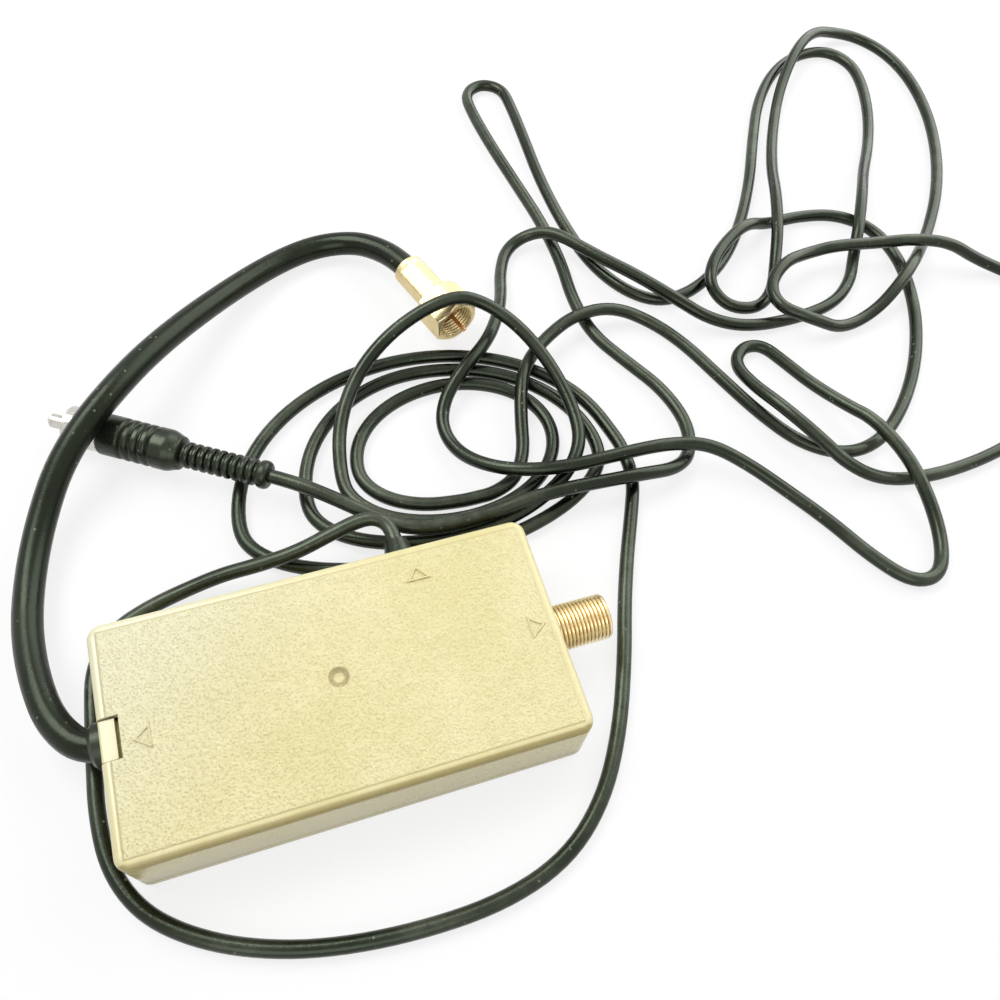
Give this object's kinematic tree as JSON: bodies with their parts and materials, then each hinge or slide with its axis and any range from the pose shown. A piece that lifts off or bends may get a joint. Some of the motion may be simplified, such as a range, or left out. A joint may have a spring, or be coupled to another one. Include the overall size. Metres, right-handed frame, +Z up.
{
  "type": "rf switch",
  "caption": "Flat snap-closed aerial switch box with a threaded aerial jack, a short thick lead to a screw-on television plug and a long thin coiled lead to a moulded phono plug.",
  "frame": {"origin": "middle of the case's underside, on the table", "axes": "+X towards the aerial jack, +Y towards the back wall with the console lead, +Z up"},
  "size_m": [0.2768, 0.221, 0.017],
  "materials": {
    "case_plastic": "sanded top, satin walls",
    "board": "satin",
    "tinplate": "satin",
    "plated_brass": "dull plated",
    "white_plastic": "satin",
    "black_rubber": "satin",
    "ferrite": "matte",
    "copper": "bright",
    "capacitor_coat": "satin",
    "diode_glass": "gloss",
    "resistor_coat": "satin",
    "black_plastic": "satin",
    "nickel": "polished",
    "lead_jacket": "satin"
  },
  "bodies": {
    "switch_box": {"top_shell": "case_plastic", "bottom_shell": "case_plastic", "circuit_board": "board", "shield_can": "tinplate", "antenna_jack_body": "plated_brass", "antenna_jack_insulator": "white_plastic", "antenna_jack_contact": "plated_brass", "tv_lead_relief": "black_rubber", "tv_lead_inner_end": "white_plastic", "deck_lead_boot": "black_rubber", "deck_lead_inner_end": "white_plastic", "choke_core": "ferrite", "choke_winding": "copper", "disc_capacitors": "capacitor_coat", "switching_diodes": "diode_glass", "resistors": "resistor_coat", "switching_transistor": "black_plastic", "tv_plug_ferrule": "plated_brass", "tv_plug_post": "plated_brass", "tv_plug_insulator": "white_plastic", "tv_plug_pin": "copper", "deck_plug_grip": "black_rubber", "deck_plug_ring": "nickel", "deck_plug_insulator": "black_plastic", "deck_plug_pin": "nickel", "tv_lead": "lead_jacket", "deck_lead_front": "lead_jacket", "deck_lead_coil": "lead_jacket", "deck_lead_far_loops": "lead_jacket", "deck_lead_near_loops": "lead_jacket"},
    "coupling_nut": {"tv_plug_nut": "plated_brass"}
  },
  "joints": [
    {"name": "coupling_nut_turn", "type": "hinge", "parent": "switch_box", "child": "coupling_nut", "pos_m": [0.04671, 0.08831, 0.00645], "axis": [0.342, -0.9397, 0], "continuous": true}
  ]
}
